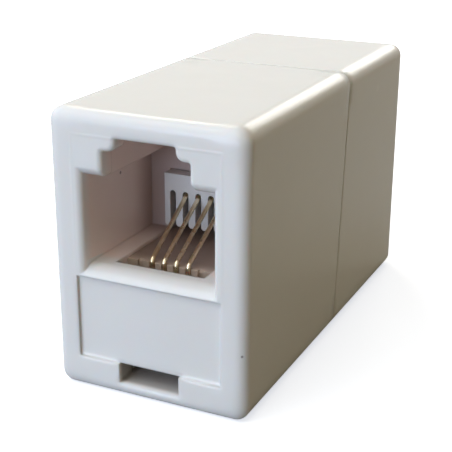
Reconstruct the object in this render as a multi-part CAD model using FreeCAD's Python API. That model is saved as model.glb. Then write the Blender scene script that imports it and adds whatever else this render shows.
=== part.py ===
import FreeCAD, Part
import math
import os

# Straight-through telephone inline coupler: a six-position modular socket at each end, four
# of the six contact places filled. Two moulded shells meet at a tilted seam and trap one
# contact core, and four spring wires run from socket to socket around that core.
#
# Frame, in millimetres: +Z up with both latch keyways on top, +X across, +Y along the body.
# The origin is the middle of the base. The front socket opens towards -Y, the rear one
# towards +Y. "Depth" is a distance from an end face into the body, at either end.

Vector = FreeCAD.Vector

# ---------------------------------------------------------------- driving dimensions
# Outer body
BODY_WIDTH = 14.4
BODY_HEIGHT = 20.0
BODY_LENGTH = 32.3
LONG_EDGE_RADIUS = 0.95
END_EDGE_RADIUS = 0.75

# Shell walls
SIDE_WALL = 1.2
FLOOR_WALL = 1.0
ROOF_WALL = 1.2
FACE_WALL = 1.4
SILL_WALL = 1.8
PARTITION_WALL = 1.2
BAY_CORNER_RADIUS = 0.4

# Seam between the shells: its place at mid height, its lean, and the lap that hides the gap
SEAM_OFFSET = 1.65
SEAM_TILT_DEG = 5.0
SEAM_EDGE_CHAMFER = 0.12
LAP_LENGTH = 1.6
LAP_SKIRT = 0.5

# Socket: the bay that guides the plug's body. Each flare of its mouth is (outwards, depth)
SOCKET_WIDTH = 9.7
SOCKET_HEIGHT = 6.35
SILL_HEIGHT = 9.15
GUIDE_DEPTH = 9.6
SIDE_FLARE = (0.38, 0.42)
SILL_FLARE = (0.62, 1.25)
ROOF_FLARE = (0.65, 1.05)
RAIL_THICKNESS = 1.25
RAIL_WIDTH = 1.5

# Keyway over the socket: a wide step for the latch's shoulders, a narrow slot for its tab
KEYWAY_WIDTH = 6.4
KEYWAY_STEP = 1.92
KEYWAY_SLOT_WIDTH = 4.35
KEYWAY_HEIGHT = 2.82
KEYWAY_FOOT_RADIUS = 0.3
KEYWAY_SHOULDER_RADIUS = 0.6
KEYWAY_CORNER_RADIUS = 0.15
RIM_ROUND = 0.33
LATCH_RELIEF = 0.12

# Hollows in the thick plastic beside the latch channel, open towards the seam
POCKET_WALL = 0.9

# Recessed panel under the sill, and the catch window under the panel
PANEL_WIDTH = 10.8
PANEL_RECESS = 0.22
PANEL_LIP = 0.1
WINDOW_WIDTH = 4.6
WINDOW_HEIGHT = 1.42

# Catch that holds the shells together: a ramp on the front floor, a tongue from the rear
CATCH_INSET = 11.7
CATCH_HEIGHT = 1.1
CATCH_LAND = 0.35
CATCH_RAMP = 1.3
TONGUE_SIDE_GAP = 0.25
TONGUE_THICKNESS = 0.9
TONGUE_ROOT = 2.4
HOOK_LAND = 0.35
HOOK_RAMP = 0.8
HOOK_REACH = 0.95

# Ribs that carry the contact core
RIB_WIDTH = 1.0
RIB_THICKNESS = 0.8
RIB_INSETS = (1.2, 3.6)

# Clearance between pieces that slide together at assembly
FIT = 0.05

# Contact places: they lie a little closer together at the shelf than at the comb behind it
POSITIONS = 6
FILLED = 4
COMB_PITCH = 1.02
SHELF_PITCH = 0.93
SLOT_WIDTH = 0.46

# Contact core: a base plate that runs under both sockets as shelves, and a bridge on cheeks
# and a web that carries a comb over each shelf
SHELF_DEPTH = 3.3
SHELF_WIDTH = 6.7
SHELF_DROP = 0.25
BASE_THICKNESS = 1.3
COMB_DEPTH = 8.6
COMB_THICKNESS = 0.8
COMB_WIDTH = 6.45
COMB_GAP = 0.77
COMB_SLOT_HEIGHT = 3.5
BRIDGE_TOP = 4.75
BRIDGE_THICKNESS = 0.7
CHEEK_WALL = 0.6
WEB_WALL = 1.2
TOOTH_CHAMFER = 0.15

# Spring wires
WIRE_DIAMETER = 0.32
WIRE_FACETS = 8
WIRE_SEAT_GAP = 0.03
WIRE_RISE_DEG = 28.7
WIRE_BEND_RADIUS = 0.45
WIRE_BEND_LIFT = 0.22
WIRE_TAIL = 0.3

# ---------------------------------------------------------------- derived places
half_width = BODY_WIDTH / 2
half_length = BODY_LENGTH / 2
inner_half_width = half_width - SIDE_WALL
roof_z = BODY_HEIGHT - ROOF_WALL
socket_roof_z = SILL_HEIGHT + SOCKET_HEIGHT
step_z = socket_roof_z + KEYWAY_STEP
keyway_top_z = socket_roof_z + KEYWAY_HEIGHT
shoulder_y = half_length - GUIDE_DEPTH
rail_half_gap = SOCKET_WIDTH / 2 - RAIL_WIDTH
rail_bottom_z = SILL_HEIGHT - RAIL_THICKNESS
panel_top_z = SILL_HEIGHT - SILL_FLARE[0] - PANEL_LIP
window_top_z = FLOOR_WALL + WINDOW_HEIGHT
shelf_top_z = SILL_HEIGHT - SHELF_DROP
base_bottom_z = shelf_top_z - BASE_THICKNESS
bridge_top_z = shelf_top_z + BRIDGE_TOP
bridge_bottom_z = bridge_top_z - BRIDGE_THICKNESS
comb_bottom_z = shelf_top_z + COMB_GAP
comb_slot_top_z = shelf_top_z + COMB_SLOT_HEIGHT
wire_radius = WIRE_DIAMETER / 2
wire_rise = math.radians(WIRE_RISE_DEG)
CUT = 1.0  # how far a cutter stands clear of what it cuts


# ---------------------------------------------------------------- building helpers
def across(a, b):
    """Point of a cross-section: a is X, b is Z, on the plane y = 0."""
    return Vector(a, 0, b)


def along(a, b):
    """Point of a lengthwise section: a is Y, b is Z, on the plane x = 0."""
    return Vector(0, a, b)


def plan(a, b):
    """Point of a plan section: a is X, b is Y, on the plane z = 0."""
    return Vector(a, b, 0)


def outline(corners, place):
    """Closed face through (a, b) or (a, b, radius) corners, each rounded by its radius."""
    rounded = []
    for index, corner in enumerate(corners):
        here = Vector(corner[0], corner[1], 0)
        radius = corner[2] if len(corner) > 2 else 0
        if radius <= 0:
            rounded.append((here, None, here))
            continue
        before = Vector(*corners[index - 1][:2], 0)
        after = Vector(*corners[(index + 1) % len(corners)][:2], 0)
        back = (before - here).normalize()
        ahead = (after - here).normalize()
        half_angle = back.getAngle(ahead) / 2
        reach = radius / math.tan(half_angle)
        inward = (back + ahead).normalize()
        crown = here + inward * (radius / math.sin(half_angle) - radius)
        rounded.append((here + back * reach, crown, here + ahead * reach))
    edges = []
    for index, (start, crown, end) in enumerate(rounded):
        following = rounded[(index + 1) % len(rounded)][0]
        if crown is not None:
            edges.append(Part.Arc(*[place(p.x, p.y) for p in (start, crown, end)]).toShape())
        if (following - end).Length > 1e-6:
            edges.append(Part.LineSegment(place(end.x, end.y), place(following.x, following.y)).toShape())
    return Part.Face(Part.Wire(edges))


def rectangle(half, low, high, radius=0.0):
    """Corners of a rectangle centred on a = 0."""
    return [(-half, low, radius), (half, low, radius), (half, high, radius), (-half, high, radius)]


def extrude_y(corners, y_start, y_end):
    """Cross-section pushed along the body from y_start to y_end."""
    face = outline(corners, across)
    face.translate(Vector(0, y_start, 0))
    return face.extrude(Vector(0, y_end - y_start, 0))


def extrude_x(corners, x_start, x_end):
    """Lengthwise section pushed across the body from x_start to x_end."""
    face = outline(corners, along)
    face.translate(Vector(x_start, 0, 0))
    return face.extrude(Vector(x_end - x_start, 0, 0))


def turned(shape):
    """The same shape at the other end of the body."""
    copy = shape.copy()
    copy.rotate(Vector(0, 0, 0), Vector(0, 0, 1), 180)
    return copy


def front_y(depth):
    """Y of a depth measured from the front face."""
    return depth - half_length


def seam_y(z):
    """Y of the seam plane at height z."""
    return SEAM_OFFSET + (z - BODY_HEIGHT / 2) * math.tan(math.radians(SEAM_TILT_DEG))


def seam_slab(start, end):
    """All that lies between two planes parallel to the seam, start and end from it in Y."""
    low = -CUT
    high = BODY_HEIGHT + CUT
    corners = [
        (seam_y(low) + start, low),
        (seam_y(low) + end, low),
        (seam_y(high) + end, high),
        (seam_y(high) + start, high),
    ]
    return extrude_x(corners, -half_width - CUT, half_width + CUT)


def fused(shapes):
    """One clean solid from shapes that meet."""
    return shapes[0].multiFuse(shapes[1:]).removeSplitter()


# ---------------------------------------------------------------- outer body
def outer_body():
    """Block with rounded long edges, then a smaller round all the way about each end."""
    block = Part.makeBox(BODY_WIDTH, BODY_LENGTH, BODY_HEIGHT, Vector(-half_width, -half_length, 0))
    long_edges = [e for e in block.Edges if abs(e.tangentAt(e.FirstParameter).y) > 0.99]
    block = block.makeFillet(LONG_EDGE_RADIUS, long_edges)
    end_edges = [e for e in block.Edges if e.BoundBox.YLength < 1e-6]
    return block.makeFillet(END_EDGE_RADIUS, end_edges)


# ---------------------------------------------------------------- socket at the front end
def flare_arc(wall, flare, outward, place):
    """Arc from the face, beyond the wall, to where it runs into the wall smoothly."""
    spread, reach = flare
    radius = (reach**2 + spread**2) / (2 * spread)
    sweep = math.asin(reach / radius)
    points = []
    for angle in (sweep, sweep / 2, 0):
        offset = radius * (1 - math.cos(angle))
        depth = reach - radius * math.sin(angle)
        points.append(place(wall + outward * offset, front_y(depth)))
    return points


def mouth_section(low, low_flare, high, high_flare, place):
    """Face bounded by two flared walls, open past the end face, as deep as the plug bay."""
    low_points = flare_arc(low, low_flare, -1, place)
    high_points = flare_arc(high, high_flare, 1, place)
    path = [
        place(low - low_flare[0], front_y(-CUT)),
        low_points,
        place(low, front_y(GUIDE_DEPTH)),
        place(high, front_y(GUIDE_DEPTH)),
        high_points[::-1],
        place(high + high_flare[0], front_y(-CUT)),
    ]
    edges = []
    for index, item in enumerate(path):
        if isinstance(item, list):
            edges.append(Part.Arc(*item).toShape())
        start = item[-1] if isinstance(item, list) else item
        following = path[(index + 1) % len(path)]
        end = following[0] if isinstance(following, list) else following
        edges.append(Part.LineSegment(start, end).toShape())
    return Part.Face(Part.Wire(edges))


def plug_bay():
    """Bay for the plug's body. Where side and sill flares meet, they mitre."""
    half = SOCKET_WIDTH / 2
    sides = mouth_section(-half, SIDE_FLARE, half, SIDE_FLARE, plan)
    sides = sides.extrude(Vector(0, 0, BODY_HEIGHT))
    heights = mouth_section(
        SILL_HEIGHT, SILL_FLARE, socket_roof_z, ROOF_FLARE, lambda a, b: Vector(0, b, a)
    )
    heights.translate(Vector(-half_width, 0, 0))
    heights = heights.extrude(Vector(BODY_WIDTH, 0, 0))
    return sides.common(heights)


def keyway_corners():
    """Stepped outline of the keyway, from the middle of the plug bay up."""
    wide = KEYWAY_WIDTH / 2
    slot = KEYWAY_SLOT_WIDTH / 2
    right = [
        (wide, SILL_HEIGHT + SOCKET_HEIGHT / 2),
        (wide, step_z, KEYWAY_CORNER_RADIUS),
        (slot, step_z, KEYWAY_SHOULDER_RADIUS),
        (slot, keyway_top_z, KEYWAY_CORNER_RADIUS),
    ]
    left = [(-a, b, *rest) for a, b, *rest in right[::-1]]
    return right + left


def keyway():
    """Keyway through the face wall, its rim rounded.

    The rim is the edge between the keyway and a plate that stands in front of the face.
    """
    through = extrude_y(keyway_corners(), front_y(-CUT), front_y(FACE_WALL))
    plate = Part.makeBox(BODY_WIDTH, 2 * CUT, BODY_HEIGHT, Vector(-half_width, front_y(-2 * CUT), 0))
    cutter = fused([through, plate])
    rim = []
    for edge in cutter.Edges:
        box = edge.BoundBox
        on_face = abs(box.YMin - front_y(0)) < 1e-4 and box.YLength < 1e-4
        if on_face and max(abs(box.XMin), abs(box.XMax)) < half_width - CUT:
            rim.append(edge)
    return cutter.makeFillet(RIM_ROUND, rim)


def is_keyway_foot(edge):
    """True where a side of the keyway, or its rim, meets the roof of the plug bay."""
    middle = edge.valueAt((edge.FirstParameter + edge.LastParameter) / 2)
    on_side = -1e-3 < abs(middle.x) - KEYWAY_WIDTH / 2 < RIM_ROUND
    on_roof = -1e-3 < middle.z - socket_roof_z < ROOF_FLARE[0]
    in_wall = front_y(0) < middle.y < front_y(FACE_WALL)
    return on_side and on_roof and in_wall and edge.BoundBox.YLength > 1e-3


def mouth():
    """Plug bay and keyway as one cutter, rounded where they meet."""
    opening = fused([plug_bay(), keyway()])
    return opening.makeFillet(KEYWAY_FOOT_RADIUS, [e for e in opening.Edges if is_keyway_foot(e)])


def latch_channel():
    """Space behind the keyway. It keeps the step's width up to the slot's top, so the latch's
    shoulders rise behind the face wall and hold there.
    """
    half = KEYWAY_WIDTH / 2 + LATCH_RELIEF
    below = SILL_HEIGHT + SOCKET_HEIGHT / 2
    return extrude_y(rectangle(half, below, keyway_top_z), front_y(FACE_WALL), front_y(GUIDE_DEPTH))


def lower_bay():
    """Space under the sockets: full width below the rails, narrow between them."""
    corners = [
        (-inner_half_width, FLOOR_WALL, BAY_CORNER_RADIUS),
        (inner_half_width, FLOOR_WALL, BAY_CORNER_RADIUS),
        (inner_half_width, rail_bottom_z, BAY_CORNER_RADIUS),
        (rail_half_gap, rail_bottom_z),
        (rail_half_gap, SILL_HEIGHT + CUT),
        (-rail_half_gap, SILL_HEIGHT + CUT),
        (-rail_half_gap, rail_bottom_z),
        (-inner_half_width, rail_bottom_z, BAY_CORNER_RADIUS),
    ]
    return extrude_y(corners, front_y(SILL_WALL), front_y(GUIDE_DEPTH))


def pocket(side):
    """Hollow beside the latch channel, drawn from the seam side, on the side given by its sign."""
    near = KEYWAY_WIDTH / 2 + LATCH_RELIEF + POCKET_WALL
    low = socket_roof_z + POCKET_WALL
    corners = [(near, low), (inner_half_width, low), (inner_half_width, roof_z), (near, roof_z)]
    corners = [(side * a, b) for a, b in corners]
    return extrude_y(corners, front_y(FACE_WALL + POCKET_WALL), -shoulder_y + PARTITION_WALL)


def panel():
    """Shallow recess from under the sill down to the catch window."""
    return extrude_y(
        rectangle(PANEL_WIDTH / 2, window_top_z, panel_top_z), front_y(-CUT), front_y(PANEL_RECESS)
    )


def catch_window():
    """Window through the face, level with the floor, that shows the catch its moulding pin."""
    return extrude_y(
        rectangle(WINDOW_WIDTH / 2, FLOOR_WALL, window_top_z), front_y(-CUT), front_y(SILL_WALL + CUT)
    )


def end_cuts():
    """Everything that the front end and the rear end both lose."""
    return [mouth(), latch_channel(), lower_bay(), pocket(1), pocket(-1), panel()]


def partition():
    """Wall that closes the front socket's far end, with a doorway that the comb stands in."""
    wall = rectangle(half_width, shelf_top_z + FIT, BODY_HEIGHT)
    doorway = rectangle(COMB_WIDTH / 2 + FIT, shelf_top_z, bridge_top_z + FIT)
    far_y = -shoulder_y + PARTITION_WALL
    return extrude_y(wall, -shoulder_y, far_y).cut(extrude_y(doorway, -shoulder_y, far_y))


def core_bay():
    """Room for the contact core, with a partition at each end."""
    room = extrude_y(
        rectangle(inner_half_width, FLOOR_WALL, roof_z, BAY_CORNER_RADIUS), -shoulder_y, shoulder_y
    )
    return room.cut([partition(), turned(partition())])


# ---------------------------------------------------------------- shells
def core_rib(side, y_middle):
    """Upright rib on a side wall whose top carries the core's base plate."""
    near = inner_half_width - RIB_WIDTH
    far = inner_half_width + SIDE_WALL / 2
    low = FLOOR_WALL - FLOOR_WALL / 2
    corners = [(side * near, low), (side * far, low), (side * far, base_bottom_z), (side * near, base_bottom_z)]
    return extrude_y(corners, y_middle - RIB_THICKNESS / 2, y_middle + RIB_THICKNESS / 2)


def catch_ramp():
    """Ramp on the front floor: the tongue's hook rides up it and drops in front of it."""
    face_y = front_y(CATCH_INSET)
    top_z = FLOOR_WALL + CATCH_HEIGHT
    corners = [
        (face_y, FLOOR_WALL / 2),
        (face_y, top_z),
        (face_y + CATCH_LAND, top_z),
        (face_y + CATCH_LAND + CATCH_RAMP, FLOOR_WALL),
        (face_y + CATCH_LAND + CATCH_RAMP, FLOOR_WALL / 2),
    ]
    return extrude_x(corners, -WINDOW_WIDTH / 2, WINDOW_WIDTH / 2)


def catch_tongue():
    """Springy tongue from the rear floor: it passes over the ramp and hooks its front face."""
    hook_back = front_y(CATCH_INSET) - FIT
    under_z = FLOOR_WALL + CATCH_HEIGHT + FIT
    top_z = under_z + TONGUE_THICKNESS
    root_front = seam_y(FLOOR_WALL) + FIT
    root_back = root_front + TONGUE_ROOT
    hook_tip_z = under_z - HOOK_REACH
    corners = [
        (root_back, FLOOR_WALL / 2),
        (root_back, FLOOR_WALL),
        (root_back, top_z, TONGUE_THICKNESS),
        (hook_back - HOOK_LAND - HOOK_RAMP, top_z),
        (hook_back - HOOK_LAND - HOOK_RAMP, under_z),
        (hook_back - HOOK_LAND, hook_tip_z),
        (hook_back, hook_tip_z),
        (hook_back, under_z),
        (root_front, under_z),
        (root_front, FLOOR_WALL / 2),
    ]
    half = WINDOW_WIDTH / 2 - TONGUE_SIDE_GAP
    return extrude_x(corners, -half, half)


def lap_section(skirt):
    """Cross-section left inside a skirt of the given thickness."""
    half = half_width - skirt
    radius = LONG_EDGE_RADIUS - skirt
    return rectangle(half, skirt, BODY_HEIGHT - skirt, max(radius, 0))


def seam_outer_edges(shape):
    """Edges of the seam face that lie on the body's outside."""
    found = []
    for edge in shape.Edges:
        points = [edge.valueAt(t) for t in (edge.FirstParameter, edge.LastParameter)]
        on_seam = all(abs(p.y - seam_y(p.z)) < 1e-4 for p in points)
        section = lap_section(0.01)
        low, high = section[0][1], section[2][1]
        half = section[1][0]
        outside = all(abs(p.x) > half or p.z < low or p.z > high for p in points)
        if on_seam and outside:
            found.append(edge)
    return found


def whole_case():
    """Both shells as one hollow body, before the seam parts them."""
    cutters = [core_bay()]
    for cutter in end_cuts():
        cutters += [cutter, turned(cutter)]
    return outer_body().cut(cutters)


def front_shell(case):
    """Longer shell: ribs, catch ramp and window, and a skirt that laps over the rear shell."""
    reach = BODY_LENGTH
    shell = case.common(seam_slab(-reach, 0)).cut(catch_window())
    ribs = [core_rib(side, -shoulder_y + inset) for side in (-1, 1) for inset in RIB_INSETS]
    shell = fused([shell, catch_ramp()] + ribs)
    recess = extrude_y(lap_section(LAP_SKIRT), -half_length, half_length)
    recess = recess.common(seam_slab(-LAP_LENGTH - FIT, CUT))
    shell = shell.cut(recess)
    return shell.makeChamfer(SEAM_EDGE_CHAMFER, seam_outer_edges(shell))


def rear_shell(case):
    """Shorter shell: ribs, the catch tongue and the spigot that enters the front shell."""
    reach = BODY_LENGTH
    shell = case.common(seam_slab(0, reach))
    shell = shell.makeChamfer(SEAM_EDGE_CHAMFER, seam_outer_edges(shell))
    ribs = [core_rib(side, shoulder_y - inset) for side in (-1, 1) for inset in RIB_INSETS]
    spigot = extrude_y(lap_section(LAP_SKIRT + FIT), -half_length, half_length)
    bore = rectangle(inner_half_width, FLOOR_WALL, roof_z, BAY_CORNER_RADIUS)
    spigot = spigot.cut(extrude_y(bore, -half_length, half_length))
    spigot = spigot.common(seam_slab(-LAP_LENGTH, SIDE_WALL))
    return fused([shell, spigot, catch_tongue()] + ribs)


# ---------------------------------------------------------------- contact core
def slot_places(pitch):
    """X of every contact place, left to right."""
    return [(index - (POSITIONS - 1) / 2) * pitch for index in range(POSITIONS)]


def base_plate():
    """Plate that lies on the ribs, with a narrow shelf that runs out under each socket."""
    flange = inner_half_width - FIT
    step_y = shoulder_y - FIT
    shelf = SHELF_WIDTH / 2
    end_y = half_length - SHELF_DEPTH
    quarter = [(shelf, end_y), (shelf, step_y), (flange, step_y)]
    corners = quarter + [(a, -b) for a, b in quarter[::-1]]
    corners += [(-a, b) for a, b in corners[::-1]]
    face = outline(corners, lambda a, b: Vector(a, b, base_bottom_z))
    return face.extrude(Vector(0, 0, BASE_THICKNESS))


def wire_groove(x_middle):
    """What a contact place removes from the plate: its end faces and a channel underneath.

    The plate that is left is rounded on top and bevelled below, inside the bends of the wire.
    """
    seat = SHELF_DEPTH + wire_radius + WIRE_SEAT_GAP
    spine_half = half_length - seat
    spine_low = base_bottom_z + WIRE_DIAMETER + WIRE_SEAT_GAP
    spine_round = WIRE_BEND_RADIUS - wire_radius - WIRE_SEAT_GAP
    near = x_middle - SLOT_WIDTH / 2
    far = x_middle + SLOT_WIDTH / 2
    around = extrude_x(rectangle(half_length, base_bottom_z - CUT, shelf_top_z + CUT), near, far)
    top = shelf_top_z
    spine = [
        (-spine_half, spine_low + spine_round),
        (spine_round - spine_half, spine_low),
        (spine_half - spine_round, spine_low),
        (spine_half, spine_low + spine_round),
        (spine_half, top, spine_round),
        (spine_half - CUT, top),
        (spine_half - CUT, top + 2 * CUT),
        (CUT - spine_half, top + 2 * CUT),
        (CUT - spine_half, top),
        (-spine_half, top, spine_round),
    ]
    return around.cut(extrude_x(spine, near, far))


def comb_slot(x_middle):
    """Round-topped slot through a comb, rising with the wire that slides in it."""
    low = comb_bottom_z - CUT
    half = SLOT_WIDTH / 2
    corners = [
        (x_middle - half, low),
        (x_middle + half, low),
        (x_middle + half, comb_slot_top_z, half * 0.999),
        (x_middle - half, comb_slot_top_z, half * 0.999),
    ]
    face = outline(corners, across)
    run = COMB_THICKNESS + 2 * FIT
    face.translate(Vector(0, front_y(COMB_DEPTH) - FIT, -FIT * math.tan(wire_rise)))
    return face.extrude(Vector(0, run, run * math.tan(wire_rise)))


def comb():
    """Toothed wall over the front shelf that keeps the free ends of the wires apart."""
    wall = extrude_y(
        rectangle(COMB_WIDTH / 2, comb_bottom_z, bridge_top_z),
        front_y(COMB_DEPTH),
        front_y(COMB_DEPTH + COMB_THICKNESS),
    )
    wall = wall.cut([comb_slot(x) for x in slot_places(COMB_PITCH)])
    feet = [e for e in wall.Edges if e.BoundBox.ZMax < comb_bottom_z + 1e-4 and e.BoundBox.XLength < 1e-6]
    return wall.makeChamfer(TOOTH_CHAMFER, feet)


def contact_core():
    """Base plate, two cheeks and a web under a bridge, and a comb at each end of the bridge."""
    half = COMB_WIDTH / 2
    end_y = half_length - COMB_DEPTH - COMB_THICKNESS / 2
    cheek_y = shoulder_y - FIT
    frame = [
        (-half, shelf_top_z - BASE_THICKNESS / 2),
        (CHEEK_WALL - half, shelf_top_z - BASE_THICKNESS / 2),
        (CHEEK_WALL - half, bridge_bottom_z),
        (half - CHEEK_WALL, bridge_bottom_z),
        (half - CHEEK_WALL, shelf_top_z - BASE_THICKNESS / 2),
        (half, shelf_top_z - BASE_THICKNESS / 2),
        (half, bridge_top_z),
        (-half, bridge_top_z),
    ]
    bridge = extrude_y(rectangle(half, bridge_bottom_z, bridge_top_z), -end_y, end_y)
    tunnel = extrude_y(frame, -cheek_y + COMB_THICKNESS, cheek_y - COMB_THICKNESS)
    web = extrude_y(rectangle(half, shelf_top_z - BASE_THICKNESS / 2, bridge_top_z), -WEB_WALL / 2, WEB_WALL / 2)
    core = fused([base_plate(), tunnel, web, bridge, comb(), turned(comb())])
    return core.cut([wire_groove(x) for x in slot_places(SHELF_PITCH)]).removeSplitter()


# ---------------------------------------------------------------- spring wires
def wire_corners(shelf_x, comb_x):
    """Corners of a wire's centre line, from its free end in front to the one behind."""
    shelf_y = front_y(SHELF_DEPTH)
    bend_z = shelf_top_z + WIRE_BEND_LIFT
    run_z = base_bottom_z + wire_radius
    rise_to_comb = COMB_DEPTH + COMB_THICKNESS / 2 - SHELF_DEPTH
    rise_to_tail = COMB_DEPTH + COMB_THICKNESS + WIRE_TAIL - SHELF_DEPTH
    tail_x = shelf_x + (comb_x - shelf_x) * rise_to_tail / rise_to_comb
    tail_z = bend_z + rise_to_tail * math.tan(wire_rise)
    front = [
        Vector(tail_x, shelf_y + rise_to_tail, tail_z),
        Vector(shelf_x, shelf_y, bend_z),
        Vector(shelf_x, shelf_y, run_z),
    ]
    return front + [Vector(p.x, -p.y, p.z) for p in front[::-1]]


def contact_wire(shelf_x, comb_x):
    """One wire: free end in a comb, down round the shelf, under the core, and up again."""
    corners = wire_corners(shelf_x, comb_x)
    edges = []
    end = corners[0]
    for before, here, after in zip(corners, corners[1:], corners[2:]):
        back = (before - here).normalize()
        ahead = (after - here).normalize()
        half_angle = back.getAngle(ahead) / 2
        reach = WIRE_BEND_RADIUS / math.tan(half_angle)
        inward = (back + ahead).normalize()
        crown = here + inward * (WIRE_BEND_RADIUS / math.sin(half_angle) - WIRE_BEND_RADIUS)
        edges.append(Part.LineSegment(end, here + back * reach).toShape())
        edges.append(Part.Arc(here + back * reach, crown, here + ahead * reach).toShape())
        end = here + ahead * reach
    edges.append(Part.LineSegment(end, corners[-1]).toShape())
    path = Part.Wire(edges)
    heading = (corners[1] - corners[0]).normalize()
    upright = heading.cross(Vector(1, 0, 0)).normalize()
    level = upright.cross(heading)
    section = []
    for facet in range(WIRE_FACETS + 1):
        angle = 2 * math.pi * facet / WIRE_FACETS
        spoke = level * math.cos(angle) + upright * math.sin(angle)
        section.append(corners[0] + spoke * wire_radius)
    section = Part.makePolygon(section)
    wire = path.makePipeShell([section], True, False)
    print("wire volume / section times length:", wire.Volume / (Part.Face(section).Area * path.Length))
    return wire


# ---------------------------------------------------------------- output
def save(name, shape):
    """Write one sub-part and report it."""
    solid = shape.Solids[0] if len(shape.Solids) == 1 else shape
    print(name, "solids", len(shape.Solids), "valid", shape.isValid(), "volume", round(shape.Volume, 2))
    solid.exportStep("parts/" + name + ".step")


os.makedirs("parts", exist_ok=True)
case = whole_case()
save("front_shell", front_shell(case))
save("rear_shell", rear_shell(case))
save("contact_core", contact_core())
first_filled = (POSITIONS - FILLED) // 2
both_ends = list(zip(slot_places(SHELF_PITCH), slot_places(COMB_PITCH)))
for number, (shelf_x, comb_x) in enumerate(both_ends[first_filled : first_filled + FILLED], start=1):
    save("contact_wire_" + str(number), contact_wire(shelf_x, comb_x))
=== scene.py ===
# %% [markdown]
# # A telephone inline coupler, dressed for the camera
# The coupler is two glossy white shells that meet at a leaning seam, with a modular socket at
# each end. Inside lie a plain white contact core and four gold-plated spring wires. The
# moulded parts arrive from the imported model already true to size, so the lesson is about
# light, plastic and metal, and about bending one good wire and copying it.

# %% Load the frame
import bpy
import math
from mathutils import Matrix, Vector


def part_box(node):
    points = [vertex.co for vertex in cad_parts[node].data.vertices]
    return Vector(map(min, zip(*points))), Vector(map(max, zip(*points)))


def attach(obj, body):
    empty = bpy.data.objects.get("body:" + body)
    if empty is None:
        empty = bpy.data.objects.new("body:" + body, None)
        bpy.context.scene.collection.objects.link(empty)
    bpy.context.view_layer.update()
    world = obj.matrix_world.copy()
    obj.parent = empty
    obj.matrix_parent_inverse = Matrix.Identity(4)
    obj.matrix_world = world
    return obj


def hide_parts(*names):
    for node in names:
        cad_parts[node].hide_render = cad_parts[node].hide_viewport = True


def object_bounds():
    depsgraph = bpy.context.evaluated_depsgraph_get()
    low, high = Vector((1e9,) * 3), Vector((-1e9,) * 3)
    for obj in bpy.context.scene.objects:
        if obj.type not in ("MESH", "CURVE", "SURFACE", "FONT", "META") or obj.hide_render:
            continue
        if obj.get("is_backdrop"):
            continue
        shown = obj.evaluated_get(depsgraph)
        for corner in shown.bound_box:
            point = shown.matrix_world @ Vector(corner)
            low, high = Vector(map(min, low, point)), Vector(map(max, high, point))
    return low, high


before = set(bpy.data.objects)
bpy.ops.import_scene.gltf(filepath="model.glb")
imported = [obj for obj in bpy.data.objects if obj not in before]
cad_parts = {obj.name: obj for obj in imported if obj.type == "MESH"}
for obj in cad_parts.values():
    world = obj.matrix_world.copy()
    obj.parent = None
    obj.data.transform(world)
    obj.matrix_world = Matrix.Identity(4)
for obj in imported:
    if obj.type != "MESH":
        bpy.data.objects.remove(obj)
cad_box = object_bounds()
MM = 0.001


def mm(*lengths):
    """Lengths given in millimetres, as metres."""
    return [length * MM for length in lengths]


def in_mm(lengths, digits=2):
    """Lengths in metres, as rounded millimetres to print."""
    return [round(length / MM, digits) for length in lengths]


print("nodes:", ", ".join(sorted(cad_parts)))
print("box in mm:", [in_mm(corner) for corner in cad_box])


# %% [markdown]
# ## The camera
# A camera is three directions and a place: where it looks from, which way is right and which
# way is up. Typing those as angles round the object reads better than a raw matrix, and a
# little roll is only a turn of right and up about the line of sight. The coupler is small, so
# the near clip comes down too, or the camera would cut straight through it. The Standard view
# shows each colour as it is written, which suits a plain product picture.

# %% Where the camera stands
AZIMUTH = math.radians(25.22)
ELEVATION = math.radians(20.06)
ROLL = math.radians(0.3)
DISTANCE = 82.33 * MM
AIM_ACROSS = -1.68 * MM
AIM_UP = -2.28 * MM


def direction(azimuth, elevation):
    """Unit vector from the object towards a viewer or a lamp. Azimuth 0 is the front."""
    flat = math.cos(elevation)
    return Vector((math.sin(azimuth) * flat, -math.cos(azimuth) * flat, math.sin(elevation)))


low, high = (Vector(corner) for corner in cad_box)
middle = (low + high) / 2
back = direction(AZIMUTH, ELEVATION)
level_right = Vector((math.cos(AZIMUTH), math.sin(AZIMUTH), 0))
level_up = back.cross(level_right)
right = level_right * math.cos(ROLL) + level_up * math.sin(ROLL)
up = level_up * math.cos(ROLL) - level_right * math.sin(ROLL)
place = middle + back * DISTANCE + right * AIM_ACROSS + up * AIM_UP
print("camera at, in mm:", in_mm(place, 1))

# %% The camera
SENSOR = 36.0
FOCAL_IN_SENSORS = 2.326
NEAR_CLIP = 5 * MM

bpy.ops.object.camera_add(location=place)
camera = bpy.context.object
camera.name = "camera"
turned = Matrix((right, up, back)).transposed().to_4x4()
camera.matrix_world = Matrix.Translation(place) @ turned
camera.data.sensor_width = SENSOR
camera.data.lens = SENSOR * FOCAL_IN_SENSORS
camera.data.clip_start = NEAR_CLIP
bpy.context.scene.camera = camera
bpy.context.scene.view_settings.view_transform = "Standard"
print("lens:", round(camera.data.lens, 1), "mm")


# %% [markdown]
# ## Writing shader maths as plain sums
# A finish needs many small nodes. Wiring them by hand is slow to read, so one class wraps a
# socket and lets Python's own signs add the Math nodes, and one method makes any other node.

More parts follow.
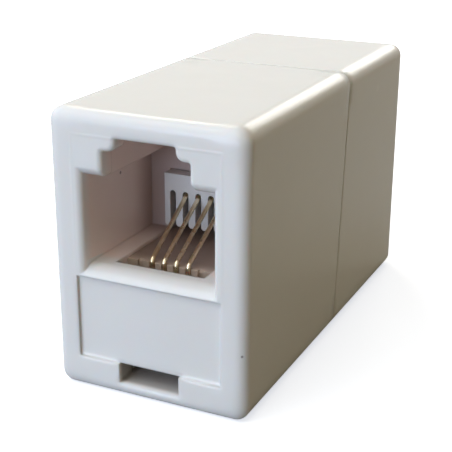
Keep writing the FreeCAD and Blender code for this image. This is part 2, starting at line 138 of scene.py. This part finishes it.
# %% A value that can be added, multiplied and compared
class Value:
    """A number, colour or direction that changes over a surface: one socket of a graph."""

    def __init__(self, graph, socket):
        self.graph = graph
        self.socket = socket

    def maths(self, operation, *operands):
        sockets = dict(enumerate(operands))
        return self.graph.node("ShaderNodeMath", {"operation": operation}, sockets)

    def __add__(self, other):
        return self.maths("ADD", self, other)

    def __sub__(self, other):
        return self.maths("SUBTRACT", self, other)

    def __mul__(self, other):
        return self.maths("MULTIPLY", self, other)

    def __rsub__(self, other):
        return self.maths("SUBTRACT", other, self)

    __radd__ = __add__
    __rmul__ = __mul__

    def __abs__(self):
        return self.maths("ABSOLUTE", self)

    def larger(self, other):
        return self.maths("MAXIMUM", self, other)

    def smaller(self, other):
        return self.maths("MINIMUM", self, other)

    def step(self, nothing, whole):
        """A smooth ramp from 0 at one place to 1 at another. Either place may be the lower."""
        rising = nothing < whole
        sockets = {"Value": self, "From Min": min(nothing, whole), "From Max": max(nothing, whole)}
        sockets["To Min"] = 0.0 if rising else 1.0
        sockets["To Max"] = 1.0 if rising else 0.0
        return self.graph.node(
            "ShaderNodeMapRange", {"interpolation_type": "SMOOTHSTEP"}, sockets, "Result"
        )


def feed(entry, given):
    """Link a Value to a socket, or set the socket to a number or a colour."""
    if isinstance(given, Value):
        given.graph.tree.links.new(given.socket, entry)
    else:
        entry.default_value = given


# %% A graph, and the method that makes any node
class Graph:
    """The nodes of a material or of the world."""

    # The Mix node has sockets for each kind of data: its two inputs, then its output.
    MIX_SOCKETS = {"RGBA": (6, 7, 2), "VECTOR": (4, 5, 1)}

    def __init__(self, tree):
        self.tree = tree

    def node(self, kind, settings=None, sockets=None, output=0):
        """Make a node, then its settings, then its sockets, and hand back one output."""
        node = self.tree.nodes.new(kind)
        for name, setting in (settings or {}).items():
            setattr(node, name, setting)
        for key, given in (sockets or {}).items():
            feed(node.inputs[key], given)
        return Value(self, node.outputs[output])

    def blend(self, amount, first, second, kind="RGBA"):
        """A colour between two, by the amount, or a direction if the kind is VECTOR."""
        one, other, output = self.MIX_SOCKETS[kind]
        sockets = {0: amount, one: first, other: second}
        return self.node("ShaderNodeMix", {"data_type": kind}, sockets, output)

    def rays(self, *kinds):
        """1 for a ray of any of these kinds, and 0 for every other ray."""
        found, *others = (
            self.node("ShaderNodeLightPath", output="Is " + kind + " Ray") for kind in kinds
        )
        for other in others:
            found = found.larger(other)
        return found


# %% A finish
class Finish(Graph):
    """A material round one Principled shader."""

    def __init__(self, name, **constants):
        self.material = bpy.data.materials.new(name)
        self.material.use_nodes = True
        super().__init__(self.material.node_tree)
        self.shader = self.tree.nodes["Principled BSDF"]
        self.coordinates = self.node("ShaderNodeTexCoord", output="Object")
        self.give(**constants)

    def give(self, **sockets):
        """Set or link sockets of the shader. An underscore stands for a space."""
        for name, given in sockets.items():
            feed(self.shader.inputs[name.replace("_", " ")], given)

    def noise(self, scale, detail, roughness=0.5):
        sockets = {"Scale": scale, "Detail": detail, "Roughness": roughness}
        return self.node("ShaderNodeTexNoise", sockets={"Vector": self.coordinates, **sockets})

    def axes(self):
        """The place of a point on the piece, as three values in metres."""
        parts = self.node("ShaderNodeSeparateXYZ", sockets={0: self.coordinates})
        return [Value(self, output) for output in parts.socket.node.outputs]

    def distance_from(self, point):
        """How far a point on the piece lies from a point given in millimetres."""
        sockets = {0: self.coordinates, 1: mm(*point)}
        return self.node("ShaderNodeVectorMath", {"operation": "DISTANCE"}, sockets, "Value")

    def bevel(self, radius, samples):
        """The surface's direction, as if its edges were rounded to the radius."""
        return self.node("ShaderNodeBevel", {"samples": samples}, {"Radius": radius})

    def bump(self, height, distance, strength=1.0, **normal):
        """The surface's direction, bumped, on top of another Normal if one is given."""
        sockets = {"Height": height, "Distance": distance, "Strength": strength}
        return self.node("ShaderNodeBump", sockets={**sockets, **normal})

    def report(self):
        print(self.material.name, "has", len(self.tree.nodes), "nodes")


# %% [markdown]
# ## Glossy white plastic
# The shells are moulded ABS: nearly white, a touch warm, polished on the outside, and very
# slightly see-into, so sharp edges look soft. A flat white would read as paper. The moulding
# is clean and new, so its changes are faint: slow clouds of colour, a little unevenness in the
# gloss, and a waviness of less than a thousandth of a millimetre from the polish of the mould.

# %% Shell plastic
POLISH = 0.17
DULLER_IN_SMUDGES = 0.04
DULLER_IN_GRAIN = 0.02
SMUDGES_BETWEEN = (0.3, 0.75)

shell = Finish(
    "shell plastic",
    IOR=1.5,
    Specular_IOR_Level=0.32,
    Subsurface_Weight=0.3,
    Subsurface_Radius=(1.0, 0.65, 0.5),
    Subsurface_Scale=0.7 * MM,
)
x, y, z = shell.axes()
depth = high.y - abs(y)
clouds = shell.noise(scale=90, detail=3)
smudges = shell.noise(scale=300, detail=4, roughness=0.6)
grain = shell.noise(scale=5200, detail=2)
shell.give(
    Roughness=POLISH
    + DULLER_IN_SMUDGES * smudges.step(*SMUDGES_BETWEEN)
    + DULLER_IN_GRAIN * grain
)
shell.report()

# %% [markdown]
# ## Painted bounce light and painted shade inside a socket
# Light that enters a socket bounces from wall to wall before it leaves, and each bounce on this
# plastic takes a little blue and green away, so the walls inside look warmer than the face. The
# bounces are only traced a few times, so that warmth is painted into the walls' colour as painted
# bounce light, from nothing at the mouth to all of it a little way in, and painted shade darkens
# it further back. The catch window below the panel is too small to let much light in, so its
# walls get a grey painted shade, darker beside its jambs. Each patch is a product of smooth
# steps, one for every side of a box.

# %% Patches inside the socket and the window
# Each pair is the place where a patch is nothing, and then the place where it is whole.
SOCKET_MOUTH = mm(0.2, 1.4)
SOCKET_SIDES = mm(5.25, 4.95)
SOCKET_FLOOR = mm(8.45, 8.85)
SOCKET_ROOF = mm(18.8, 18.5)
SILL_TOP = mm(9.5, 9.25)
SILL_ROLL = 1.6 * MM
WINDOW_MOUTH = mm(0.1, 0.6)
WINDOW_SIDES = mm(2.6, 2.4)
WINDOW_FLOOR = mm(0.2, 0.6)
WINDOW_ROOF = mm(2.82, 2.62)
WINDOW_JAMB = mm(1.8, 2.3)

depth_in_socket = depth - SILL_ROLL * z.step(*SILL_TOP)
in_socket = depth_in_socket.step(*SOCKET_MOUTH) * abs(x).step(*SOCKET_SIDES)
in_socket = in_socket * z.step(*SOCKET_FLOOR) * z.step(*SOCKET_ROOF)
in_window = depth.step(*WINDOW_MOUTH) * abs(x).step(*WINDOW_SIDES)
in_window = in_window * z.step(*WINDOW_FLOOR) * z.step(*WINDOW_ROOF)
# The jambs of the catch window get a darker painted shade.
near_jamb = in_window * abs(x).step(*WINDOW_JAMB)
shell.report()

# %% Colours of the shells
SHELL_LIGHT = (0.868, 0.862, 0.84, 1)
SHELL_CLOUD = (0.856, 0.848, 0.822, 1)
# Painted light: bounce warmth on the socket walls, painted shade deep in the socket, painted shade
# in the catch window, and darker painted shade beside its jambs.
SHELL_PAINTED_BOUNCE_LIGHT = (0.94, 0.795, 0.735, 1)
SHELL_PAINTED_DEEP_SHADE = (0.50, 0.39, 0.36, 1)
SHELL_PAINTED_WINDOW_SHADE = (0.66, 0.63, 0.61, 1)
SHELL_PAINTED_JAMB_SHADE = (0.48, 0.45, 0.43, 1)
CLOUDS_BETWEEN = (0.35, 0.7)
DEEP_IN = mm(6.5, 10)

plain = shell.blend(clouds.step(*CLOUDS_BETWEEN), SHELL_LIGHT, SHELL_CLOUD)
# The socket walls and the catch window wear painted bounce light and painted shade over the plain
# colour.
socket_painted_light_and_shade = shell.blend(depth.step(*DEEP_IN), SHELL_PAINTED_BOUNCE_LIGHT, SHELL_PAINTED_DEEP_SHADE)
plastic = shell.blend(in_window, shell.blend(in_socket, plain, socket_painted_light_and_shade), SHELL_PAINTED_WINDOW_SHADE)
plastic = shell.blend(near_jamb, plastic, SHELL_PAINTED_JAMB_SHADE)
shell.report()

# %% [markdown]
# ## Three small flaws
# A real moulding carries a speck or two of burnt plastic and the odd nick. They could be
# painted into a picture, but each is only a place on the surface, found by its distance from a
# point, and none reaches half a millimetre from it.

# %% Specks and a nick
SPECK_COLOUR = (0.16, 0.13, 0.12, 1)
NICK_COLOUR = (0.93, 0.93, 0.90, 1)
SPECK_STRENGTH = 0.75
NICK_STRENGTH = 0.5
SPECK_BESIDE_PANEL = (6.9, -16.02, 4.95)
SPECK_IN_SOCKET = (-4.85, -10.96, 14.37)
NICK_IN_SIDE = (7.2, 9.4, 17.5)
# A flaw has its full colour within this share of its radius.
WHOLE_WITHIN = 0.3


def flaw(point, radius):
    """1 at a point given in millimetres, 0 from the radius outwards."""
    return shell.distance_from(point).step(radius * MM, WHOLE_WITHIN * radius * MM)


specks = flaw(SPECK_BESIDE_PANEL, radius=0.13).larger(flaw(SPECK_IN_SOCKET, radius=0.17))
nick = flaw(NICK_IN_SIDE, radius=0.45)
speckled = shell.blend(specks * SPECK_STRENGTH, plastic, SPECK_COLOUR)
shell.give(Base_Color=shell.blend(nick * NICK_STRENGTH, speckled, NICK_COLOUR))
shell.report()

# %% [markdown]
# ## The line round the mould's insert
# The steel that forms a socket is a separate insert in the mould, and where it meets the rest
# it leaves a line on the face that is easier to feel than to see. It is far too fine for the
# geometry, so it is a bump: the distance to a rectangle, squeezed into a low ridge.

# %% Insert line
INSERT_HALF_WIDTH = 5.45 * MM
INSERT_TOP_Z = 18.37 * MM
LINE_WIDTH = 0.16 * MM
FACE_SKIN = mm(0.05, 0.02)
ABOVE_PANEL = mm(8.55, 9.15)

upright = abs(abs(x) - INSERT_HALF_WIDTH).step(LINE_WIDTH, 0.0)
upright = upright * z.step(INSERT_TOP_Z + LINE_WIDTH, INSERT_TOP_Z)
level = abs(z - INSERT_TOP_Z).step(LINE_WIDTH, 0.0)
level = level * abs(x).step(INSERT_HALF_WIDTH + LINE_WIDTH, INSERT_HALF_WIDTH)
on_face = depth.step(*FACE_SKIN) * z.step(*ABOVE_PANEL)
insert_line = upright.larger(level) * on_face
print("insert line:", round(2 * INSERT_HALF_WIDTH / MM, 1), "mm across")

# %% [markdown]
# ## Soft edges
# Moulded edges never turn as tightly as they are drawn, and light that enters the plastic near
# an edge comes out round the corner. A Bevel node rounds only the shading. Everything fine gets
# a slight rounding, the panel's ledge and the outer edges a broader one and the long edges the
# broadest: a point is near an outer edge when its second nearest outer plane is close too.

# %% Which edge is near
NEAR_OUTER_EDGE = mm(1.7, 1.0)
NEAR_LONG_EDGE = mm(3.0, 1.8)
LEDGE_DEPTH = mm(0.5, 0.35)
LEDGE_TOP = mm(8.15, 7.95)
BESIDE_WINDOW = mm(2.5, 2.9)

side_gap = high.x - abs(x)
level_gap = z.smaller(high.z - z)
second_gap = side_gap.smaller(depth).larger(side_gap.larger(depth).smaller(level_gap))
near_outer_edge = second_gap.step(*NEAR_OUTER_EDGE)
near_long_edge = side_gap.larger(level_gap).step(*NEAR_LONG_EDGE)
near_ledge = depth.step(*LEDGE_DEPTH) * z.step(*LEDGE_TOP) * abs(x).step(*BESIDE_WINDOW)
shell.report()

# %% Soft edges and polish
FINE_ROUNDING = 0.2 * MM
FINE_SAMPLES = 6
# Each row is a patch and its radius in millimetres. A later row goes over the earlier ones.
BROAD_ROUNDINGS = ((near_ledge, 0.45), (near_outer_edge, 0.7), (near_long_edge, 1.3))
BROAD_SAMPLES = 8
LINE_HEIGHT = 0.012 * MM
GRAIN_HEIGHT = 0.0006 * MM
GRAIN_STRENGTH = 0.6

soft_edges = shell.bevel(FINE_ROUNDING, FINE_SAMPLES)
for nearness, radius in BROAD_ROUNDINGS:
    rounder = shell.bevel(radius * MM, BROAD_SAMPLES)
    mixed = shell.blend(nearness, soft_edges, rounder, "VECTOR")
    soft_edges = shell.node("ShaderNodeVectorMath", {"operation": "NORMALIZE"}, {0: mixed})
ridged = shell.bump(insert_line, LINE_HEIGHT, Normal=soft_edges)
shell.give(Normal=shell.bump(grain, GRAIN_HEIGHT, GRAIN_STRENGTH, Normal=ridged))
shell.report()

# %% [markdown]
# ## Plain white plastic of the core
# The core is never seen from outside except at the sockets, so its mould is not polished. The
# same white with more roughness and a coarser grain tells it apart. Its combs stand in the
# light of the mouth, while its shelves lie low where only warm light arrives, so painted warm
# light turns the colour to cream at the teeth, and painted shade turns it brown on the shelf
# between them and the comb, in the same way as on the shells' inner walls.

# %% Core plastic
CORE_LIGHT = (0.68, 0.675, 0.665, 1)
CORE_CLOUD = (0.66, 0.652, 0.636, 1)
# Painted light: cream painted warm light low on the core, and brown painted shade in the trough
# before the comb.
CORE_PAINTED_WARM_LIGHT = (0.74, 0.62, 0.52, 1)
CORE_PAINTED_TROUGH_SHADE = (0.36, 0.265, 0.22, 1)
CORE_CLOUDS_BETWEEN = (0.3, 0.75)
LOW_DOWN = mm(10.27, 9.0)
TROUGH_TOP = mm(9.87, 9.0)
BEHIND_LIP = mm(2.6, 4.6)

core = Finish(
    "core plastic",
    IOR=1.5,
    Specular_IOR_Level=0.3,
    Subsurface_Weight=0.2,
    Subsurface_Radius=(1.0, 0.65, 0.5),
    Subsurface_Scale=0.6 * MM,
)
_, core_y, core_z = core.axes()
core_depth = high.y - abs(core_y)
core_clouds = core.noise(scale=260, detail=3)
in_trough = core_z.step(*TROUGH_TOP) * core_depth.step(*BEHIND_LIP)
core_plain = core.blend(core_clouds.step(*CORE_CLOUDS_BETWEEN), CORE_LIGHT, CORE_CLOUD)
core_with_painted_warm_light = core.blend(core_z.step(*LOW_DOWN), core_plain, CORE_PAINTED_WARM_LIGHT)
core.give(Base_Color=core.blend(in_trough, core_with_painted_warm_light, CORE_PAINTED_TROUGH_SHADE))
core.report()

# %% The core's matt grain
CORE_ROUGHNESS = 0.4
CORE_UNEVENNESS = 0.06
CORE_ROUNDING = 0.05 * MM
CORE_GRAIN_HEIGHT = 0.0012 * MM

core_grain = core.noise(scale=6500, detail=3)
core_edges = core.bevel(CORE_ROUNDING, FINE_SAMPLES)
core.give(
    Roughness=CORE_ROUGHNESS + CORE_UNEVENNESS * core_grain,
    Normal=core.bump(core_grain, CORE_GRAIN_HEIGHT, Normal=core_edges),
)
core.report()

# %% [markdown]
# ## Gold-plated spring wire
# Drawn wire is finely scratched, and thin gold plating is a little uneven. Scratches that run
# exactly along a bent wire would need a map that follows it, but a wire this thin shows only
# that its highlights are broken. So a fine noise roughens the surface, and a slower one moves
# the colour and the gloss together, as thin and thick plating do.

# %% Contact metal
GOLD_BRIGHT = (0.90, 0.79, 0.56, 1)
GOLD_DULL = (0.72, 0.58, 0.36, 1)
PLATING_BETWEEN = (0.35, 0.7)
GOLD_ROUGHNESS = 0.2
GOLD_UNEVENNESS = 0.16
SCRATCH_HEIGHT = 0.003 * MM

gold = Finish("contact gold", Metallic=1.0)
plating = gold.noise(scale=900, detail=3)
scratches = gold.noise(scale=9000, detail=2)
gold.give(
    Base_Color=gold.blend(plating.step(*PLATING_BETWEEN), GOLD_BRIGHT, GOLD_DULL),
    Roughness=GOLD_ROUGHNESS + GOLD_UNEVENNESS * plating,
    Normal=gold.bump(scratches, SCRATCH_HEIGHT),
)
gold.report()

# %% [markdown]
# ## Dressing the moulded parts
# The two shells and the core are already the right shape, so they keep their own meshes and
# only change what they wear. A material is put into each slot that a part has, which leaves
# the part and its slots as they came.

# %% Finishes onto the moulded parts
FINISH_OF = {"front_shell": shell, "rear_shell": shell, "contact_core": core}
for name, finish in FINISH_OF.items():
    for material_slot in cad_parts[name].material_slots:
        material_slot.material = finish.material
    print(name, "wears", finish.material.name)


# %% [markdown]
# ## The spring wires
# Each wire starts in a comb, slopes down to the lip of the shelf, turns under the core and
# comes up the same way at the far end. It could be a curve with a round bevel, but bending it
# as a toolmaker does keeps every bend an exact arc: a ring of points is drawn along the
# straights with extrude and round the bends with spin. Half a wire is enough, and a mirror
# gives the rest.

# %% Tools for modelling by hand
def only(piece):
    """Make one object the only one selected, and the active one."""
    bpy.ops.object.select_all(action="DESELECT")
    piece.select_set(True)
    bpy.context.view_layer.objects.active = piece


def pull(offset):
    """Extrude what is selected along a straight line."""
    bpy.ops.mesh.extrude_region_move(TRANSFORM_OT_translate={"value": offset})


def bend(centre, angle):
    """Carry what is selected round an arc about an axis across the body. It turns clockwise."""
    bpy.ops.mesh.spin(steps=BEND_STEPS, angle=angle, center=centre, axis=(1, 0, 0))


def pick(piece, test):
    """Go into edit mode with only the vertices selected whose place passes the test."""
    only(piece)
    bpy.ops.object.mode_set(mode="EDIT")
    bpy.ops.mesh.select_all(action="DESELECT")
    bpy.ops.object.mode_set(mode="OBJECT")
    for vertex in piece.data.vertices:
        vertex.select = test(vertex.co)
    bpy.ops.object.mode_set(mode="EDIT")


# %% Measures of a wire
WIRE_RADIUS = 0.16 * MM
WIRE_SIDES = 20
RISE = math.radians(28.7)
BEND_RADIUS = 0.45 * MM
BEND_STEPS = 8
RUN_Z = 7.76 * MM
LEG_Y = -12.85 * MM
CROOK_Z = 9.12 * MM
TAIL_Y = -6.45 * MM
QUARTER_TURN = math.pi / 2

heading = Vector((0, math.cos(RISE), math.sin(RISE)))
crook_turn = QUARTER_TURN - RISE
crook_reach = BEND_RADIUS * math.tan(crook_turn / 2)
crook_start_z = CROOK_Z - crook_reach
bend_y = LEG_Y + BEND_RADIUS
bend_z = RUN_Z + BEND_RADIUS
slope = heading * ((TAIL_Y - LEG_Y) / heading.y - crook_reach)
print("slope:", round(slope.length / MM, 2), "mm, upright leg:", in_mm([bend_z, crook_start_z]))

# %% Half a wire
TIP_ROUNDING = 0.05 * MM
TIP_STEPS = 2

bpy.ops.object.select_all(action="DESELECT")
bpy.ops.mesh.primitive_circle_add(
    vertices=WIRE_SIDES, radius=WIRE_RADIUS, location=(0, 0, RUN_Z), rotation=(QUARTER_TURN, 0, 0)
)
wire = bpy.context.object
wire.name = "spring_wire"
bpy.ops.object.transform_apply(location=True, rotation=True, scale=True)
bpy.ops.object.mode_set(mode="EDIT")
bpy.ops.mesh.select_all(action="SELECT")
pull((0, bend_y, 0))
bend((0, bend_y, bend_z), QUARTER_TURN)
pull((0, 0, crook_start_z - bend_z))
bend((0, bend_y, crook_start_z), crook_turn)
pull(slope)
bpy.ops.mesh.edge_face_add()
bpy.ops.mesh.bevel(offset=TIP_ROUNDING, segments=TIP_STEPS, affect="EDGES")
bpy.ops.object.mode_set(mode="OBJECT")
print("half a wire:", len(wire.data.polygons), "faces")

# %% The far half
MERGE_DISTANCE = 0.01 * MM
SHARPEST_SMOOTH = math.radians(40)

mirror = wire.modifiers.new("far half", "MIRROR")
mirror.use_axis = (False, True, False)
mirror.merge_threshold = MERGE_DISTANCE
only(wire)
bpy.ops.object.modifier_apply(modifier=mirror.name)
bpy.ops.object.mode_set(mode="EDIT")
bpy.ops.mesh.select_all(action="SELECT")
bpy.ops.mesh.normals_make_consistent(inside=False)
bpy.ops.object.mode_set(mode="OBJECT")
bpy.ops.object.shade_smooth_by_angle(angle=SHARPEST_SMOOTH)
print("whole wire:", len(wire.data.polygons), "faces,", in_mm([wire.dimensions.y])[0], "mm long")

# %% [markdown]
# ## Four wires, slightly fanned
# The wires lie closer together at the shelf than at the comb, so each slope is turned outwards
# a degree or so about its own upright leg. The four are copies of one wire: the vertices of a
# slope are picked by their height and turned in edit mode. With no window the rotate operator
# turns the other way round, so its angle has the other sign here.

# %% Fanning and settling a copy
# Room for rounding where two heights are compared.
HAIR = 0.0001 * MM
FRONT, BEHIND = -1, 1


def fan(piece, end, angle):
    """Turn the slope at one end about its upright leg."""
    pick(piece, lambda place: place.z > crook_start_z + HAIR and place.y * end > 0)
    leg = (0, end * abs(LEG_Y), 0)
    bpy.ops.transform.rotate(
        value=angle, orient_axis="Z", orient_type="GLOBAL", center_override=leg
    )
    bpy.ops.object.mode_set(mode="OBJECT")


def settle(piece):
    """Bake the object's place into its mesh, so the object itself sits at the origin."""
    only(piece)
    bpy.ops.object.transform_apply(location=True, rotation=True, scale=True)
    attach(piece, "root")


# %% Four copies
SHELF_PITCH = 0.93 * MM
COMB_PITCH = 1.02 * MM
COMB_Y = -7.15 * MM
WIRES = 4
OPPOSITE_CORNERS = (0, 6)

for number in range(1, WIRES + 1):
    node = "contact_wire_" + str(number)
    only(wire)
    bpy.ops.object.duplicate()
    copy = bpy.context.object
    copy.name = "spring_wire_" + str(number)
    steps_out = number - (WIRES + 1) / 2
    turn = math.atan(steps_out * (COMB_PITCH - SHELF_PITCH) / (COMB_Y - LEG_Y))
    fan(copy, FRONT, turn)
    fan(copy, BEHIND, -turn)
    copy.location.x = steps_out * SHELF_PITCH
    copy.data.materials.clear()
    copy.data.materials.append(gold.material)
    settle(copy)
    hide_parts(node)
    wire_box = [in_mm(copy.bound_box[corner]) for corner in OPPOSITE_CORNERS]
    print(copy.name, wire_box, "solid", [in_mm(corner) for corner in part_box(node)])
bpy.data.objects.remove(wire)


# %% [markdown]
# ## Floor and background
# The coupler stands on a plain pale floor under an even white surround. Light Path tells a ray
# that the camera sends from one that only carries light: the first finds a white floor and a
# white sky, the second a dim warm room, so the background is bright without flooding the
# object. The floor glows for the camera alone, and less round the object, where the lamps
# reach it, so it still takes the object's shadow.

# %% The floor
FLOOR_SIZE = 1.2
FLOOR_Z = -0.02 * MM

bpy.ops.object.select_all(action="DESELECT")
bpy.ops.mesh.primitive_plane_add(size=FLOOR_SIZE, location=(0, 0, FLOOR_Z))
floor = bpy.context.object
floor.name = "floor"
floor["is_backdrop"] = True
print("floor:", FLOOR_SIZE, "m wide")

# %% The floor's finish
FLOOR_PALE = (0.86, 0.86, 0.86, 1)
FLOOR_MOTTLE = (0.84, 0.84, 0.84, 1)
FLOOR_TO_LIGHT = (0.10, 0.085, 0.06, 1)
GLOW_NEAR = (0.60, 0.63, 0.69, 1)
GLOW_FAR = (0.80, 0.83, 0.89, 1)
GLOW_GROWS = mm(30, 200)
BLACK = (0, 0, 0, 1)
WHITE = (1, 1, 1, 1)

matt = Finish("floor", Roughness=0.9, Specular_IOR_Level=0.0, Emission_Strength=1.0)
pale = matt.blend(matt.noise(scale=60, detail=2), FLOOR_PALE, FLOOR_MOTTLE)
glow = matt.blend(matt.distance_from((0, 0, 0)).step(*GLOW_GROWS), GLOW_NEAR, GLOW_FAR)
matt.give(
    Base_Color=matt.blend(matt.rays("Camera", "Glossy"), FLOOR_TO_LIGHT, pale),
    Emission_Color=matt.blend(matt.rays("Camera"), BLACK, glow),
)
floor.data.materials.append(matt.material)
matt.report()

# %% The surround
ROOM_LIGHT = (0.25, 0.205, 0.128, 1)

world = bpy.context.scene.world or bpy.data.worlds.new("surround")
bpy.context.scene.world = world
world.use_nodes = True
surround = Graph(world.node_tree)
in_view = surround.rays("Camera", "Glossy", "Transmission")
feed(surround.tree.nodes["Background"].inputs["Color"], surround.blend(in_view, ROOM_LIGHT, WHITE))
print("surround has", len(surround.tree.nodes), "nodes")


# %% [markdown]
# ## Five soft lamps, as in a room with two windows
# Three warm lamps make the daylight: one above, and two behind, low and to the left, as windows
# would stand. They light the top, skim the right side, and their reflections run as bright
# lines along the rounded top edges, which is what makes the plastic look polished. Two cooler
# ones light the face: a key almost in front, and a fill from the left. An area lamp's softness
# comes from its size against its distance.

# %% A soft lamp
def soft_lamp(name, azimuth, elevation, distance, width, height, power, colour):
    """Rectangular area lamp that faces the middle of the object."""
    towards = direction(math.radians(azimuth), math.radians(elevation))
    bpy.ops.object.light_add(type="AREA", location=middle + towards * distance)
    lamp = bpy.context.object
    lamp.name = name
    lamp.rotation_euler = towards.to_track_quat("Z", "Y").to_euler()
    lamp.data.shape = "RECTANGLE"
    lamp.data.size = width
    lamp.data.size_y = height
    lamp.data.energy = power
    lamp.data.color = colour
    print(name, "at", [round(v, 3) for v in lamp.location])


# %% The five lamps
# Each row holds angles in degrees, lengths in metres and a power in watts.
DAYLIGHT = (1.0, 1.0, 0.96)
WARM = (1.0, 0.985, 0.89)
COOL = (0.643, 0.77, 1.0)
LAMPS = (
    ("window behind", 178, 26, 0.30, 0.15, 0.09, 0.19, DAYLIGHT),
    ("window behind left", -138, 46, 0.30, 0.10, 0.10, 0.18, WARM),
    ("lamp above", -15, 60, 0.20, 0.15, 0.15, 0.10, WARM),
    ("fill from the left", -60, 38, 0.35, 0.38, 0.38, 0.70, COOL),
    ("key in front", -12, 5, 0.35, 0.20, 0.06, 0.57, COOL),
)
for lamp_row in LAMPS:
    soft_lamp(*lamp_row)

# %% [markdown]
# ## Sizes, then finish
# The dressed model must be no larger than the moulded parts it dresses. Its box is kept next
# to theirs in one table, and printed.

# %% Sizes, then finish
boxes = {
    "cad": [list(corner) for corner in cad_box],
    "visual": [list(corner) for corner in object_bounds()],
}
print("dressed box in mm:", [in_mm(corner) for corner in boxes["visual"]])
